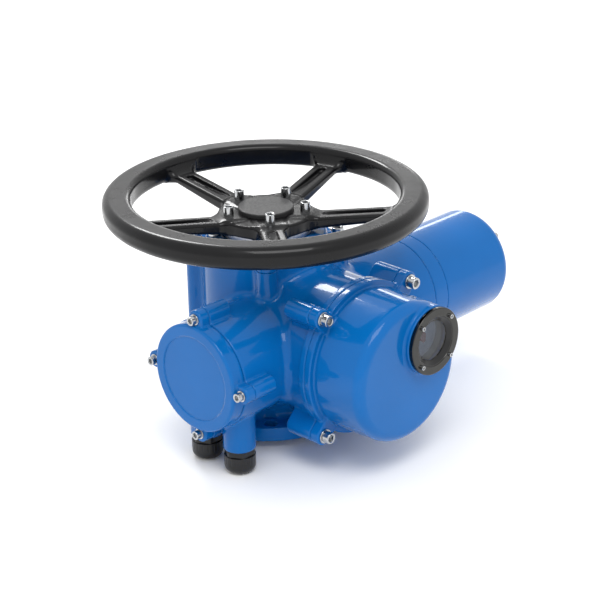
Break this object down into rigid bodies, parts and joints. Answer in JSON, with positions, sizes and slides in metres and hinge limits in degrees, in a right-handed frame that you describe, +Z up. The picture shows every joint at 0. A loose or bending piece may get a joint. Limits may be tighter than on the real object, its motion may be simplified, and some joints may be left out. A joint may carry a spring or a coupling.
{
  "type": "multi-turn electric actuator",
  "caption": "Electric valve actuator: gear casing on a round flange, control, terminal and motor drums at right angles, top handwheel, sight window and cable glands.",
  "frame": {"origin": "centre of the valve mounting flange's lower face, on the output axis", "axes": "+Z up along the output axis, +X along the control drum with the sight window, -Y along the terminal drum with the cable glands, +Y along the motor"},
  "size_m": [0.394, 0.467, 0.2651],
  "materials": {
    "blue_paint": "high gloss enamel",
    "black_wheel": "satin powder coat",
    "grey_cap": "moulded, matt",
    "bright_steel": "zinc plated",
    "turned_steel": "turned and oiled",
    "bearing_steel": "ground",
    "chrome_ring": "polished",
    "window": "clear",
    "black_rubber": "matt",
    "black_gland": "moulded, half gloss",
    "bronze": "turned",
    "brass_stud": "plated",
    "black_lever": "satin",
    "black_knob": "polished",
    "core_steel": "laminated",
    "copper": "lacquered windings",
    "board_aluminium": "brushed",
    "grey_block": "moulded",
    "black_block": "moulded",
    "white_dial": "printed plate, plain",
    "red_pointer": "painted",
    "cream_board": "moulded"
  },
  "bodies": {
    "casing": {"main_housing": "blue_paint", "top_cover": "blue_paint", "control_cover": "blue_paint", "terminal_cover": "blue_paint", "motor_flange": "blue_paint", "motor_housing": "blue_paint", "top_cover_screws": "bright_steel", "control_cover_screws": "bright_steel", "terminal_cover_screws": "bright_steel", "bearing_plate_screws": "bright_steel", "motor_tie_screws": "bright_steel", "bezel_screws": "bright_steel", "oil_plug": "bright_steel", "top_cover_seal": "black_rubber", "control_cover_seal": "black_rubber", "window_gasket": "black_rubber", "output_seal": "black_rubber", "gland_seals": "black_rubber", "handwheel_bearing": "bearing_steel", "lower_bearing": "bearing_steel", "worm_bearing_front": "bearing_steel", "worm_bearing_rear": "bearing_steel", "motor_bearing_drive": "bearing_steel", "motor_bearing_end": "bearing_steel", "bearing_circlip": "turned_steel", "bearing_plate": "turned_steel", "stator_core": "core_steel", "stator_windings": "copper", "lever_bush": "bronze", "window_bezel": "chrome_ring", "window_glass": "window", "control_board": "board_aluminium", "counter_unit": "grey_block", "limit_switches": "black_block", "torque_switch_unit": "black_block", "indicator_post": "board_aluminium", "dial_plate": "white_dial", "terminal_board": "cream_board", "terminal_studs": "brass_stud", "gland_body_left": "black_gland", "gland_body_right": "black_gland", "gland_cap_left": "black_gland", "gland_cap_right": "black_gland"},
    "handwheel": {"handwheel": "black_wheel", "handwheel_cap": "grey_cap", "handwheel_screws": "bright_steel", "handwheel_sleeve": "turned_steel", "sleeve_bush": "bronze"},
    "output": {"output_sleeve": "turned_steel", "worm_wheel": "bronze", "travel_crown_gear": "turned_steel"},
    "clutch": {"clutch_sleeve": "turned_steel"},
    "worm": {"worm_shaft": "turned_steel", "motor_rotor": "core_steel", "shaft_coupling": "turned_steel"},
    "lever": {"declutch_lever": "black_lever", "lever_shaft": "turned_steel", "lever_knob": "black_knob"},
    "control_shaft": {"control_shaft": "turned_steel"},
    "indicator": {"indicator_pointer": "red_pointer"}
  },
  "joints": [
    {"name": "handwheel_spin", "type": "hinge", "parent": "casing", "child": "handwheel", "pos_m": [0, 0, 0.2], "axis": [0, 0, 1], "continuous": true},
    {"name": "worm_spin", "type": "hinge", "parent": "casing", "child": "worm", "pos_m": [0.048, 0, 0.1025], "axis": [0, 1, 0], "continuous": true},
    {"name": "output_spin", "type": "hinge", "parent": "casing", "child": "output", "pos_m": [0, 0, 0.1025], "axis": [0, 0, 1], "continuous": true},
    {"name": "lever_turn", "type": "hinge", "parent": "casing", "child": "lever", "pos_m": [0, 0, 0.166], "axis": [0, 1, 0], "range_deg": [0, 30.81]},
    {"name": "clutch_shift", "type": "slide", "parent": "output", "child": "clutch", "axis": [0, 0, 1], "range_m": [0, 0.0085]},
    {"name": "control_spin", "type": "hinge", "parent": "casing", "child": "control_shaft", "pos_m": [0, 0, 0.062], "axis": [1, 0, 0], "continuous": true},
    {"name": "indicator_spin", "type": "hinge", "parent": "casing", "child": "indicator", "pos_m": [0, 0.029, 0.1328], "axis": [1, 0, 0], "continuous": true}
  ],
  "couplings": [
    {"joint": "output_spin", "follows": "worm_spin", "ratio": -0.029412},
    {"joint": "control_spin", "follows": "worm_spin", "ratio": -0.14118},
    {"joint": "indicator_spin", "follows": "worm_spin", "ratio": -0.00029412},
    {"joint": "clutch_shift", "follows": "lever_turn", "m_per_rad": 0.015808}
  ]
}
